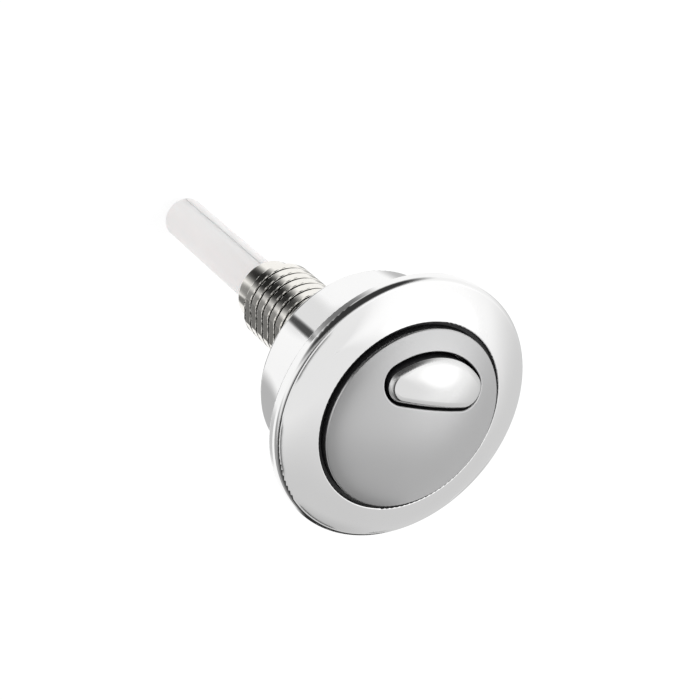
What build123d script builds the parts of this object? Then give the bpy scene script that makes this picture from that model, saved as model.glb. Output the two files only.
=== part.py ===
from build123d import *
import os
from math import cos, hypot, pi, radians, sin, sqrt

os.makedirs("parts", exist_ok=True)

# Dual flush push button for a round hole in a cistern lid. All sizes are in millimetres.
# Z = 0 is the underside of the flange, where it sits on the lid, and +Z points out of the button.
# The half flush button lies on the +Y side of the axis.

# Fits and clearances
seat_fit = 0.05            # radial room of a piece that is seated in another
slide_gap = 0.15           # radial room of the full button in its sleeve
stop_gap = 0.3             # axial room where a stop is met
end_clearance = 0.7        # axial room left at the end of a stroke

# Strokes
full_travel = 6.0
half_travel = 4.5

# Flange, bezel and cup
flange_radius = 31.0
rim_wall_height = 1.7
rim_foot_round = 0.4
rim_shoulder_width = 1.1
rim_shoulder_height = 1.4
rim_shoulder_bulge_height = 0.3
bezel_height = 5.7
bezel_bulge_height = 0.3
bezel_hole_radius = 22.1
bezel_edge_round = 0.3
flange_root_round = 0.4
cup_radius = 24.0
cup_depth = 18.4
cup_floor = 2.0
cup_back_round = 1.0

# Threaded shank
thread_radius = 10.0
shank_neck_radius = 9.0    # neck above the shoulder, through the cup's floor and the nut
shank_bore_radius = 7.0
shank_flat_depth = 0.5
shank_reach = 61.8         # from the flange's underside to the shank's end
collar_radius = 8.05
collar_length = 5.9
thread_lead_in = 0.9
shank_chamfer = 0.5
key_angle = 17.0           # direction of the flats and of the rods' parting, from +X

# Lock nut and its washer
lock_washer_radius = 13.6
lock_washer_thickness = 0.7
nut_across_flats = 27.0
nut_height = 2.8
nut_chamfer = 0.7
nut_sides = 6
shank_end_show = 0.2       # how far the shank stands out of the nut

# Guide sleeve and spring seat
button_gap = 1.0           # ring between the bezel hole and the full button
sleeve_floor = 0.9
sleeve_setback = 1.0       # the sleeve's top lies this far below the bezel's edge
stop_lip_thickness = 1.5
stop_lip_gap = 0.3
spring_seat_thickness = 0.5

# Full button cap
full_edge_height = 6.7
dome_rise = 5.3
full_roof = 1.6
full_skirt_wall = 1.5
full_edge_round = 0.4
opening_edge_round = 0.35
opening_collar_wall = 1.2
cap_boss_radius = 2.4

# Half button cap
half_arc_radius = 16.65
half_flat_offset = 4.7
half_corner_radius = 4.45
half_gap = 0.6
half_crown_rise = 0.4       # the half button's crown above the full button's
half_crown_offset = 7.1     # and away from the axis
half_bulge_across = 40.0    # radius of its bulge from side to side
half_bulge_along = 22.0     # and from its flat edge to its round one
half_shoulder_round = 2.0
half_shoulder_trim = 0.2    # the wall cuts the shoulder's round off this far in
half_rim_round = 0.2
half_roof_drop = 0.6        # the half cap's roof inside, below the full button's dome
half_skirt_wall = 1.4
half_boss_radius = 1.9

# Carrier
carrier_disc = 1.8
carrier_shelf_rise = 5.5
carrier_shelf = 1.5
carrier_step_radius = 16.3
carrier_step_wall = 1.0
carrier_skirt_wall = 1.15
carrier_rim_rise = 3.0
carrier_boss_wall = 1.0
hook_thickness = 1.5
hook_gap = 0.45
finger_count = 6
finger_slot = 1.6
hub_wall = 1.05
guide_post_radius = 1.6
guide_post_clearance = 0.1
guide_post_rise = 6.7

# Half plunger
arm_height = 2.6
arm_clearance = 0.8
socket_wall = 1.75
spring_pocket_radius = 3.5
spring_pocket_roof = 1.5
post_tube_wall = 0.7
tongue_reach = 9.6
tongue_start = 0.8         # the tongue beside the rods starts this far on their side of the axis
tongue_clearance = 0.5

# Screws and pins
carrier_screw_count = 3
carrier_screw_circle_radius = 12.0
carrier_screw_start = 210.0
carrier_screw_span = 180.0
carrier_screw_radius = 1.3
carrier_screw_length = 7.0
carrier_head_radius = 2.5
carrier_head_height = 1.6
plunger_screw_offset = 7.0
plunger_screw_margin = 0.7
plunger_screw_floor = 2.0
plunger_screw_radius = 1.1
plunger_screw_length = 3.3
plunger_head_radius = 1.9
plunger_head_height = 1.3
screw_head_room = 0.3
screw_fit = 0.05
screw_tip_room = 0.3
pin_radius = 0.7
pin_fit = 0.02
pin_depth = 3.4

# Rods
rod_radius = 5.6
rod_parting = 0.2          # slit between the two half round rods
rod_reach = 111.0          # from the flange's underside to the rods' tips
rod_tip_chamfer = 0.7
rod_slide_room = 0.4
socket_land = 0.4          # a socket's walls stop this far from the parting

# Springs
full_wire = 1.2
full_turns = 3.5
half_wire = 0.6
half_turns = 4.5
wire_sides = 6
spring_seating = 0.05

# Heights that follow from the stack on the cup's floor
floor_top = cup_floor - cup_depth
sleeve_floor_top = floor_top + sleeve_floor
lock_washer_top = sleeve_floor_top + lock_washer_thickness
nut_top = lock_washer_top + nut_height
shank_top = nut_top + shank_end_show
spring_seat_top = sleeve_floor_top + spring_seat_thickness

# Heights that follow from the full stroke
hook_bottom = spring_seat_top + full_travel + stop_gap
hook_top = hook_bottom + hook_thickness
stop_lip_bottom = hook_top + stop_gap
stop_lip_top = stop_lip_bottom + stop_lip_thickness
full_skirt_bottom = stop_lip_top + full_travel + end_clearance
carrier_bottom = shank_top + full_travel + stop_gap
carrier_disc_top = carrier_bottom + carrier_disc
shelf_top = carrier_bottom + carrier_shelf_rise
shelf_bottom = shelf_top - carrier_shelf
carrier_rim_top = shelf_top + carrier_rim_rise
hub_top = shelf_top
post_top = carrier_disc_top + guide_post_rise
carrier_head_seat = carrier_bottom + carrier_head_height + screw_head_room
carrier_boss_top = carrier_head_seat + carrier_disc
full_pin_height = (carrier_disc_top + hub_top) / 2

# Heights that follow from the half stroke
arm_bottom = carrier_disc_top + half_travel + arm_clearance
arm_top = arm_bottom + arm_height
opening_collar_bottom = arm_top + stop_gap
half_skirt_bottom = shelf_top + half_travel + stop_gap
half_pin_height = (arm_bottom + arm_top) / 2

# Radii that follow from the bezel hole and the rods
sleeve_radius = bezel_hole_radius - seat_fit
full_radius = bezel_hole_radius - button_gap
sleeve_bore_radius = full_radius + slide_gap
cap_bore_radius = full_radius - full_skirt_wall
carrier_radius = cap_bore_radius - seat_fit
carrier_skirt_bore = carrier_radius - carrier_skirt_wall
hook_radius = sleeve_bore_radius - hook_gap
stop_lip_radius = carrier_radius + stop_lip_gap
neck_hole_radius = shank_neck_radius + seat_fit
rod_socket_bore = rod_radius + seat_fit
hub_radius = rod_socket_bore + hub_wall
arm_socket_radius = rod_socket_bore + socket_wall
full_spring_radius = (carrier_step_radius + carrier_skirt_bore) / 2
carrier_boss_radius = carrier_head_radius + screw_head_room + carrier_boss_wall

# The dome is a sphere through the full button's edge and its crown
dome_radius = (full_radius**2 + dome_rise**2) / (2 * dome_rise)
dome_centre = full_edge_height + dome_rise - dome_radius


def dome_height(radius: float, offset: float = 0.0) -> float:
    """Height of the dome, moved out by offset, at a distance from the axis."""
    return dome_centre + sqrt((dome_radius + offset) ** 2 - radius**2)


# Places on the half button and its plunger
half_inset = half_gap + half_skirt_wall
plug_inset = half_inset + seat_fit
post_y = (half_flat_offset + half_arc_radius) / 2
post_tube_bore = guide_post_radius + guide_post_clearance
post_tube_radius = post_tube_bore + post_tube_wall
half_spring_radius = (post_tube_radius + spring_pocket_radius) / 2
plunger_top = dome_height(half_arc_radius - half_inset, -half_roof_drop) - seat_fit
spring_pocket_top = plunger_top - spring_pocket_roof
plunger_screw_y = (
    half_flat_offset + plug_inset + plunger_head_radius + screw_head_room + plunger_screw_margin
)
plunger_head_seat = plunger_top - plunger_screw_floor
tongue_edge = half_flat_offset - opening_collar_wall

# Reach of helper outlines that pass clear of every piece
above_all = full_edge_height + 2 * dome_rise
far_out = 2 * flange_radius


def key_direction() -> Vector:
    """Direction across the rods' parting, towards the half flush rod."""
    return Vector(cos(radians(key_angle)), sin(radians(key_angle)), 0)


def key_plane(height: float) -> Plane:
    """Level plane at a height, with x across the rods' parting."""
    return Plane(origin=(0, 0, height), x_dir=key_direction(), z_dir=(0, 0, 1))


def pin_plane(height: float, radius: float, side: int) -> Plane:
    """Upright plane outside a socket on the side +1 or -1, facing the axis."""
    start = key_direction() * (side * radius) + Vector(0, 0, height)
    return Plane(origin=start, x_dir=(0, 0, 1), z_dir=key_direction() * -side)


def half_outline(growth: float) -> Sketch:
    """D shaped outline of the half button's opening, moved out by growth."""
    with BuildSketch() as outline:
        Circle(half_arc_radius + growth)
        with Locations((0, half_flat_offset - growth)):
            Rectangle(far_out, far_out, align=(Align.CENTER, Align.MIN), mode=Mode.INTERSECT)
        fillet(outline.vertices(), half_corner_radius + growth)
    return outline.sketch


def half_round(radius: float, land: float, side: int) -> Sketch:
    """Half disc whose flat lies land away from the parting, on the side +1 or -1."""
    near = Align.MIN if side > 0 else Align.MAX
    with BuildSketch() as section:
        Circle(radius)
        with Locations((side * land, 0)):
            Rectangle(far_out, far_out, align=(near, Align.CENTER), mode=Mode.INTERSECT)
    return section.sketch


def under_dome(radius: float, bottom: float, offset: float) -> Sketch:
    """Half section of a round plug that ends in the dome, moved out by offset."""
    crown = (0, dome_height(0, offset))
    middle = (radius / 2, dome_height(radius / 2, offset))
    edge = (radius, dome_height(radius, offset))
    with BuildSketch() as section:
        with BuildLine():
            Polyline(crown, (0, bottom), (radius, bottom), edge)
            ThreePointArc(edge, middle, crown)
        make_face()
    return section.sketch


def bulged(start: tuple, end: tuple, bulge: float) -> tuple:
    """Point beside the middle of a line, moved up and out by bulge."""
    run = hypot(end[0] - start[0], end[1] - start[1])
    return (
        (start[0] + end[0]) / 2 + bulge * abs(end[1] - start[1]) / run,
        (start[1] + end[1]) / 2 + bulge * abs(end[0] - start[0]) / run,
    )


# Cup body: flange, domed bezel, cup and floor in one casting
shoulder_foot = (flange_radius, rim_wall_height)
shoulder_top = (flange_radius - rim_shoulder_width, rim_wall_height + rim_shoulder_height)
bezel_corner = (bezel_hole_radius, bezel_height)
with BuildPart() as cup_body:
    with BuildSketch(Plane.XZ) as cup_section:
        with BuildLine():
            Polyline(
                bezel_corner,
                (bezel_hole_radius, floor_top),
                (neck_hole_radius, floor_top),
                (neck_hole_radius, -cup_depth),
                (cup_radius, -cup_depth),
                (cup_radius, 0),
                (flange_radius, 0),
                shoulder_foot,
            )
            ThreePointArc(
                shoulder_foot, bulged(shoulder_foot, shoulder_top, rim_shoulder_bulge_height), shoulder_top
            )
            ThreePointArc(shoulder_top, bulged(shoulder_top, bezel_corner, bezel_bulge_height), bezel_corner)
        make_face()
        for corner, radius in (
            (bezel_corner, bezel_edge_round),
            ((flange_radius, 0), rim_foot_round),
            ((cup_radius, 0), flange_root_round),
            ((cup_radius, -cup_depth), cup_back_round),
        ):
            fillet(cup_section.vertices().sort_by_distance(corner)[0], radius)
    revolve(axis=Axis.Z)
cup_body.part.label = "cup_body"
export_step(cup_body.part, "parts/cup_body.step")

# Threaded shank, at the thread's outer diameter: two flats, a plain collar below, and above the
# shoulder that meets the cup's back a neck for the lock nut
thread_end = collar_length - shank_reach
with BuildPart() as threaded_shank:
    with BuildSketch(Plane.XZ):
        with BuildLine():
            Polyline(
                (shank_bore_radius, shank_top),
                (shank_neck_radius - shank_chamfer, shank_top),
                (shank_neck_radius, shank_top - shank_chamfer),
                (shank_neck_radius, -cup_depth),
                (thread_radius, -cup_depth),
                (thread_radius, thread_end + thread_lead_in),
                (collar_radius, thread_end),
                (collar_radius, shank_chamfer - shank_reach),
                (collar_radius - shank_chamfer, -shank_reach),
                (shank_bore_radius, -shank_reach),
                close=True,
            )
        make_face()
    revolve(axis=Axis.Z)
    with BuildSketch(key_plane(thread_end)):
        Circle(flange_radius)
        Rectangle(2 * (thread_radius - shank_flat_depth), far_out, mode=Mode.SUBTRACT)
    extrude(amount=-cup_depth - thread_end, mode=Mode.SUBTRACT)
threaded_shank.part.label = "threaded_shank"
export_step(threaded_shank.part, "parts/threaded_shank.step")

# Lock washer
with BuildPart() as lock_washer:
    with BuildSketch(Plane.XY.offset(sleeve_floor_top)):
        Circle(lock_washer_radius)
        Circle(neck_hole_radius, mode=Mode.SUBTRACT)
    extrude(amount=lock_washer_thickness)
lock_washer.part.label = "lock_washer"
export_step(lock_washer.part, "parts/lock_washer.step")

# Lock nut, with its upper corners turned down
nut_corner_radius = nut_across_flats / 2 / cos(pi / nut_sides)
with BuildPart() as shank_lock_nut:
    with BuildSketch(Plane.XY.offset(lock_washer_top)):
        RegularPolygon(nut_corner_radius, nut_sides)
        Circle(neck_hole_radius, mode=Mode.SUBTRACT)
    extrude(amount=nut_height)
    with BuildSketch(Plane.XZ):
        with BuildLine():
            Polyline(
                (0, lock_washer_top),
                (nut_corner_radius, lock_washer_top),
                (nut_corner_radius, nut_top - nut_chamfer),
                (nut_across_flats / 2, nut_top),
                (0, nut_top),
                close=True,
            )
        make_face()
    revolve(axis=Axis.Z, mode=Mode.INTERSECT)
shank_lock_nut.part.label = "shank_lock_nut"
export_step(shank_lock_nut.part, "parts/shank_lock_nut.step")

# Guide sleeve: liner of the cup with a clamped floor and the lip that stops the carrier's fingers
sleeve_top = bezel_height - sleeve_setback
with BuildPart() as guide_sleeve:
    with BuildSketch(Plane.XZ):
        with BuildLine():
            Polyline(
                (neck_hole_radius, floor_top),
                (sleeve_radius, floor_top),
                (sleeve_radius, sleeve_top),
                (sleeve_bore_radius, sleeve_top),
                (sleeve_bore_radius, stop_lip_top),
                (stop_lip_radius, stop_lip_top),
                (stop_lip_radius, stop_lip_bottom),
                (sleeve_bore_radius, stop_lip_bottom),
                (sleeve_bore_radius, sleeve_floor_top),
                (neck_hole_radius, sleeve_floor_top),
                close=True,
            )
        make_face()
    revolve(axis=Axis.Z)
guide_sleeve.part.label = "guide_sleeve"
export_step(guide_sleeve.part, "parts/guide_sleeve.step")

# Spring seat
with BuildPart() as spring_seat:
    with BuildSketch(Plane.XY.offset(sleeve_floor_top)):
        Circle(full_spring_radius + full_wire)
        Circle(full_spring_radius - full_wire, mode=Mode.SUBTRACT)
    extrude(amount=spring_seat_thickness)
spring_seat.part.label = "spring_seat"
export_step(spring_seat.part, "parts/spring_seat.step")

# Collar that lines the half button's opening, up into the cap's roof
with BuildPart() as opening_collar:
    with BuildSketch(Plane.XY.offset(opening_collar_bottom)):
        add(half_outline(opening_collar_wall))
    extrude(amount=above_all)
    with BuildSketch(Plane.XZ):
        add(under_dome(cap_bore_radius, opening_collar_bottom, -full_roof / 2))
    revolve(axis=Axis.Z, mode=Mode.INTERSECT)

# Screw bosses under the full button's roof
with BuildPart() as cap_bosses:
    with BuildSketch(Plane.XY.offset(carrier_boss_top)):
        with PolarLocations(
            carrier_screw_circle_radius, carrier_screw_count, carrier_screw_start, carrier_screw_span
        ):
            Circle(cap_boss_radius)
    extrude(amount=above_all - carrier_boss_top)
    with BuildSketch(Plane.XZ):
        add(under_dome(cap_bore_radius, carrier_boss_top, -full_roof / 2))
    revolve(axis=Axis.Z, mode=Mode.INTERSECT)

# Full button: domed cap with a skirt, the half button's opening and the screw bosses
carrier_screw_tip = carrier_head_seat + carrier_screw_length
with BuildPart() as full_button:
    with BuildSketch(Plane.XZ) as cap_section:
        add(under_dome(full_radius, full_skirt_bottom, 0))
        add(under_dome(cap_bore_radius, full_skirt_bottom, -full_roof), mode=Mode.SUBTRACT)
        edge_corner = cap_section.vertices().sort_by_distance((full_radius, full_edge_height))[0]
        fillet(edge_corner, full_edge_round)
    revolve(axis=Axis.Z)
    add(opening_collar.part)
    add(cap_bosses.part)
    with BuildSketch(Plane.XY.offset(opening_collar_bottom)):
        add(half_outline(0))
    extrude(amount=above_all, mode=Mode.SUBTRACT)
    opening_rim = full_button.edges().filter_by(
        lambda edge: all(
            abs(point.Z - dome_height(hypot(point.X, point.Y))) < seat_fit
            and hypot(point.X, point.Y) < half_arc_radius + seat_fit
            for point in (edge @ 0.0, edge @ 0.5, edge @ 1.0)
        )
    )
    fillet(opening_rim, opening_edge_round)
    with BuildSketch(Plane.XY.offset(carrier_boss_top)):
        with PolarLocations(
            carrier_screw_circle_radius, carrier_screw_count, carrier_screw_start, carrier_screw_span
        ):
            Circle(carrier_screw_radius + screw_fit)
    extrude(amount=carrier_screw_tip + screw_tip_room - carrier_boss_top, mode=Mode.SUBTRACT)
full_button.part.label = "full_button"
export_step(full_button.part, "parts/full_button.step")

# Button carrier: stepped disc with snap fingers, screw bosses, guide post and the full rod's socket
full_pin_length = hub_wall + seat_fit + pin_depth
with BuildPart() as button_carrier:
    with BuildSketch(Plane.XZ):
        with BuildLine():
            Polyline(
                (0, carrier_bottom),
                (carrier_step_radius, carrier_bottom),
                (carrier_step_radius, shelf_bottom),
                (carrier_skirt_bore, shelf_bottom),
                (carrier_skirt_bore, hook_bottom),
                (hook_radius, hook_bottom),
                (hook_radius, hook_top),
                (carrier_radius, hook_top),
                (carrier_radius, carrier_rim_top),
                (carrier_skirt_bore, carrier_rim_top),
                (carrier_skirt_bore, shelf_top),
                (carrier_step_radius - carrier_step_wall, shelf_top),
                (carrier_step_radius - carrier_step_wall, carrier_disc_top),
                (0, carrier_disc_top),
                close=True,
            )
        make_face()
    revolve(axis=Axis.Z)
    with BuildSketch(Plane.XY.offset(hook_bottom)):
        with PolarLocations(carrier_radius, finger_count):
            Rectangle(2 * (hook_radius - carrier_skirt_bore), finger_slot)
    extrude(amount=shelf_bottom - hook_bottom, mode=Mode.SUBTRACT)
    with BuildSketch(Plane.XY.offset(carrier_bottom)):
        with PolarLocations(
            carrier_screw_circle_radius, carrier_screw_count, carrier_screw_start, carrier_screw_span
        ):
            Circle(carrier_boss_radius)
    extrude(amount=carrier_boss_top - carrier_bottom)
    with BuildSketch(Plane.XY.offset(carrier_bottom)):
        with PolarLocations(
            carrier_screw_circle_radius, carrier_screw_count, carrier_screw_start, carrier_screw_span
        ):
            Circle(carrier_head_radius + screw_head_room)
    extrude(amount=carrier_head_seat - carrier_bottom, mode=Mode.SUBTRACT)
    with BuildSketch(Plane.XY.offset(carrier_bottom)):
        with PolarLocations(
            carrier_screw_circle_radius, carrier_screw_count, carrier_screw_start, carrier_screw_span
        ):
            Circle(carrier_screw_radius + screw_fit)
    extrude(amount=carrier_boss_top - carrier_bottom, mode=Mode.SUBTRACT)
    with BuildSketch(Plane.XY.offset(carrier_disc_top)):
        with Locations((0, post_y)):
            Circle(guide_post_radius)
    extrude(amount=guide_post_rise)
    with BuildSketch(key_plane(carrier_bottom)):
        add(half_round(hub_radius, socket_land, -1))
    extrude(amount=hub_top - carrier_bottom)
    with BuildSketch(key_plane(carrier_bottom)):
        Circle(rod_socket_bore)
        add(half_round(rod_radius + rod_slide_room, -socket_land, 1))
    extrude(amount=hub_top - carrier_bottom, mode=Mode.SUBTRACT)
    with BuildSketch(pin_plane(full_pin_height, hub_radius, -1)):
        Circle(pin_radius + pin_fit)
    extrude(amount=full_pin_length, mode=Mode.SUBTRACT)
button_carrier.part.label = "button_carrier"
export_step(button_carrier.part, "parts/button_carrier.step")

# Carrier screws
with BuildPart() as carrier_screws:
    with BuildSketch(Plane.XY.offset(carrier_head_seat - carrier_head_height)):
        with PolarLocations(
            carrier_screw_circle_radius, carrier_screw_count, carrier_screw_start, carrier_screw_span
        ):
            Circle(carrier_head_radius)
    extrude(amount=carrier_head_height)
    with BuildSketch(Plane.XY.offset(carrier_head_seat)):
        with PolarLocations(
            carrier_screw_circle_radius, carrier_screw_count, carrier_screw_start, carrier_screw_span
        ):
            Circle(carrier_screw_radius)
    extrude(amount=carrier_screw_length)
carrier_screws.part.label = "carrier_screws"
export_step(carrier_screws.part, "parts/carrier_screws.step")

# Full flush rod, half round, held in the carrier's socket
with BuildPart() as full_flush_rod:
    with BuildSketch(key_plane(-rod_reach)):
        add(half_round(rod_radius, rod_parting / 2, -1))
    extrude(amount=rod_reach + hub_top)
    tip = full_flush_rod.faces().sort_by(Axis.Z)[0]
    chamfer(tip.edges().filter_by(GeomType.CIRCLE), rod_tip_chamfer)
    with BuildSketch(pin_plane(full_pin_height, hub_radius, -1)):
        Circle(pin_radius + pin_fit)
    extrude(amount=full_pin_length, mode=Mode.SUBTRACT)
full_flush_rod.part.label = "full_flush_rod"
export_step(full_flush_rod.part, "parts/full_flush_rod.step")

# Cross pin of the full flush rod
with BuildPart() as full_rod_pin:
    with BuildSketch(pin_plane(full_pin_height, hub_radius, -1)):
        Circle(pin_radius)
    extrude(amount=full_pin_length)
full_rod_pin.part.label = "full_rod_pin"
export_step(full_rod_pin.part, "parts/full_rod_pin.step")

# Room inside the half button's cap
with BuildPart() as half_hollow:
    with BuildSketch(Plane.XY.offset(half_skirt_bottom)):
        add(half_outline(-half_inset))
    extrude(amount=above_all)
    with BuildSketch(Plane.XZ):
        add(under_dome(cap_bore_radius, half_skirt_bottom, -half_roof_drop))
    revolve(axis=Axis.Z, mode=Mode.INTERSECT)
    with BuildSketch(Plane.XY.offset(plunger_top)):
        with Locations((-plunger_screw_offset, plunger_screw_y), (plunger_screw_offset, plunger_screw_y)):
            Circle(half_boss_radius)
    extrude(amount=above_all, mode=Mode.SUBTRACT)

# Bulge of the half button: a barrel along Y, with its crown over the middle of the D
half_crown = full_edge_height + dome_rise + half_crown_rise
barrel_axis = half_crown - half_bulge_across
barrel_drop = half_bulge_along - sqrt(half_bulge_along**2 - half_arc_radius**2)
barrel_start = (half_crown_offset - half_arc_radius, half_crown - barrel_drop)
barrel_end = (half_crown_offset + half_arc_radius, half_crown - barrel_drop)
with BuildPart() as half_barrel:
    with BuildSketch(Plane.YZ):
        with BuildLine():
            ThreePointArc(barrel_start, (half_crown_offset, half_crown), barrel_end)
            Polyline(barrel_end, (barrel_end[0], barrel_axis), (barrel_start[0], barrel_axis), barrel_start)
        make_face()
    revolve(axis=Axis((0, 0, barrel_axis), (0, 1, 0)))

# Half button: D shaped bulging cap with a rounded shoulder and two screw bosses
plunger_screw_tip = plunger_head_seat + plunger_screw_length
with BuildPart() as half_button:
    with BuildSketch(Plane.XY.offset(half_skirt_bottom)):
        add(half_outline(half_shoulder_trim - half_gap))
    extrude(amount=above_all)
    add(half_barrel.part, mode=Mode.INTERSECT)
    crown_face = half_button.faces().sort_by(Axis.Z)[-1]
    fillet(crown_face.edges(), half_shoulder_round)
    with BuildSketch(Plane.XY.offset(half_skirt_bottom)):
        add(half_outline(-half_gap))
    extrude(amount=above_all, mode=Mode.INTERSECT)
    walls = half_button.faces().filter_by(lambda face: abs(face.normal_at(face.center()).Z) < 0.01)
    rim = walls.edges().filter_by(
        lambda edge: edge.bounding_box().min.Z > half_skirt_bottom + half_shoulder_round
    )
    fillet(rim, half_rim_round)
    add(half_hollow.part, mode=Mode.SUBTRACT)
    with BuildSketch(Plane.XY.offset(plunger_top)):
        with Locations((-plunger_screw_offset, plunger_screw_y), (plunger_screw_offset, plunger_screw_y)):
            Circle(plunger_screw_radius + screw_fit)
    extrude(amount=plunger_screw_tip + screw_fit - plunger_top, mode=Mode.SUBTRACT)
half_button.part.label = "half_button"
export_step(half_button.part, "parts/half_button.step")

# Half plunger: plug inside the half cap, with stop tongues, the spring's pocket and the half rod's socket
half_pin_length = socket_wall + seat_fit + pin_depth
left_tongue_end = hub_radius + tongue_clearance
with BuildPart() as half_plunger:
    with BuildSketch(Plane.XY.offset(arm_bottom)):
        add(half_outline(-plug_inset))
    extrude(amount=plunger_top - arm_bottom)
    with BuildSketch(Plane.XY.offset(arm_bottom)):
        with Locations((-tongue_start, tongue_edge)):
            Rectangle(
                tongue_start + tongue_reach, post_y - tongue_edge, align=(Align.MIN, Align.MIN)
            )
        with Locations((-tongue_reach, tongue_edge)):
            Rectangle(
                tongue_reach - left_tongue_end, post_y - tongue_edge, align=(Align.MIN, Align.MIN)
            )
    extrude(amount=arm_height)
    with BuildSketch(key_plane(arm_bottom)):
        add(half_round(arm_socket_radius, socket_land, 1))
    extrude(amount=arm_height)
    with BuildSketch(key_plane(arm_bottom)):
        Circle(rod_socket_bore)
    extrude(amount=arm_height, mode=Mode.SUBTRACT)
    with BuildSketch(Plane.XY.offset(arm_bottom)):
        with Locations((0, post_y)):
            Circle(spring_pocket_radius)
            Circle(post_tube_radius, mode=Mode.SUBTRACT)
    extrude(amount=spring_pocket_top - arm_bottom, mode=Mode.SUBTRACT)
    with BuildSketch(Plane.XY.offset(arm_bottom)):
        with Locations((0, post_y)):
            Circle(post_tube_bore)
        with Locations((-plunger_screw_offset, plunger_screw_y), (plunger_screw_offset, plunger_screw_y)):
            Circle(plunger_screw_radius + screw_fit)
    extrude(amount=plunger_top - arm_bottom, mode=Mode.SUBTRACT)
    with BuildSketch(Plane.XY.offset(arm_bottom)):
        with Locations((-plunger_screw_offset, plunger_screw_y), (plunger_screw_offset, plunger_screw_y)):
            Circle(plunger_head_radius + screw_head_room)
    extrude(amount=plunger_head_seat - arm_bottom, mode=Mode.SUBTRACT)
    with BuildSketch(pin_plane(half_pin_height, arm_socket_radius, 1)):
        Circle(pin_radius + pin_fit)
    extrude(amount=half_pin_length, mode=Mode.SUBTRACT)
half_plunger.part.label = "half_plunger"
export_step(half_plunger.part, "parts/half_plunger.step")

# Plunger screws
with BuildPart() as plunger_screws:
    with BuildSketch(Plane.XY.offset(plunger_head_seat - plunger_head_height)):
        with Locations((-plunger_screw_offset, plunger_screw_y), (plunger_screw_offset, plunger_screw_y)):
            Circle(plunger_head_radius)
    extrude(amount=plunger_head_height)
    with BuildSketch(Plane.XY.offset(plunger_head_seat)):
        with Locations((-plunger_screw_offset, plunger_screw_y), (plunger_screw_offset, plunger_screw_y)):
            Circle(plunger_screw_radius)
    extrude(amount=plunger_screw_length)
plunger_screws.part.label = "plunger_screws"
export_step(plunger_screws.part, "parts/plunger_screws.step")

# Half flush rod, half round, held in the plunger's socket
with BuildPart() as half_flush_rod:
    with BuildSketch(key_plane(-rod_reach)):
        add(half_round(rod_radius, rod_parting / 2, 1))
    extrude(amount=rod_reach + arm_top)
    tip = half_flush_rod.faces().sort_by(Axis.Z)[0]
    chamfer(tip.edges().filter_by(GeomType.CIRCLE), rod_tip_chamfer)
    with BuildSketch(pin_plane(half_pin_height, arm_socket_radius, 1)):
        Circle(pin_radius + pin_fit)
    extrude(amount=half_pin_length, mode=Mode.SUBTRACT)
half_flush_rod.part.label = "half_flush_rod"
export_step(half_flush_rod.part, "parts/half_flush_rod.step")

# Cross pin of the half flush rod
with BuildPart() as half_rod_pin:
    with BuildSketch(pin_plane(half_pin_height, arm_socket_radius, 1)):
        Circle(pin_radius)
    extrude(amount=half_pin_length)
half_rod_pin.part.label = "half_rod_pin"
export_step(half_rod_pin.part, "parts/half_rod_pin.step")


def coil(bottom: float, top: float, centre_y: float, radius: float, wire: float, turns: float) -> Part:
    """Coil spring between two seats, of wire with a many sided section."""
    start = bottom + wire / 2 + spring_seating
    rise = top - wire / 2 - spring_seating - start
    with BuildPart() as spring:
        with BuildLine():
            path = Helix(rise / turns, rise, radius, center=(0, centre_y, start))
        with BuildSketch(Plane(origin=path @ 0, z_dir=path % 0)):
            RegularPolygon(wire / 2, wire_sides)
        sweep(path=path, is_frenet=True)
    return spring.part


# Large return spring, from its seat to the carrier's shelf
full_return_spring = coil(
    spring_seat_top, shelf_bottom, 0, full_spring_radius, full_wire, full_turns
)
full_return_spring.label = "full_return_spring"
export_step(full_return_spring, "parts/full_return_spring.step")

# Small return spring, from the carrier's disc to the roof of the plunger's pocket
half_return_spring = coil(
    carrier_disc_top, spring_pocket_top, post_y, half_spring_radius, half_wire, half_turns
)
half_return_spring.label = "half_return_spring"
export_step(half_return_spring, "parts/half_return_spring.step")
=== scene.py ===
"""Looks of a dual flush push button for a cistern lid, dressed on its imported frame."""

import logging
import math
from dataclasses import dataclass
from enum import Enum
from typing import Any, ClassVar

import bmesh
import bpy
from mathutils import Matrix, Vector


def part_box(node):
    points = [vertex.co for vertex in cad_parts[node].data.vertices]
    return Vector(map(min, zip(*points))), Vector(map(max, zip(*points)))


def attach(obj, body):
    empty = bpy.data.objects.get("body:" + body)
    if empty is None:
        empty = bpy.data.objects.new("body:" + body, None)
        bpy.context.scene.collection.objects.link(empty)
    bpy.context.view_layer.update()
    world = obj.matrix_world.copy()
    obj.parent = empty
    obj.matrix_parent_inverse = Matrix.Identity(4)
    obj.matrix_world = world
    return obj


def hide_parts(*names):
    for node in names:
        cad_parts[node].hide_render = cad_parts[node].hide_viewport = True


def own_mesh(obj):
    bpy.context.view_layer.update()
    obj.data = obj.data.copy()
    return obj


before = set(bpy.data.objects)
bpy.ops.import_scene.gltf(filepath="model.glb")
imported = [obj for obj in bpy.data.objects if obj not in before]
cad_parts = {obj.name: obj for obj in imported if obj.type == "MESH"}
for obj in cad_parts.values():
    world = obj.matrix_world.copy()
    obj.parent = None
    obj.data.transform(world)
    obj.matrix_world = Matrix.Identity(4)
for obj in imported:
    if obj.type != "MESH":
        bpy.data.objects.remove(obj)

LOG = logging.getLogger("push_button")
MM = 0.001
Triple = tuple[float, float, float]
Colour = Triple

CAMERA_PLACE: Triple = (-0.2071, 0.1132, 0.2515)
FLOOR_HEIGHT = -113.0 * MM
FLAT_DISTANCE = 9.5 * MM
FLAT_ANGLE = math.radians(17.0)
MERGE_DISTANCE = 0.0005 * MM
SHARP_ANGLE = math.radians(38.0)
# Near black for the button walls in the gap round the buttons: painted shade.
WALL_SHADE_BLACK: Colour = (0.012, 0.012, 0.013)


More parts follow.
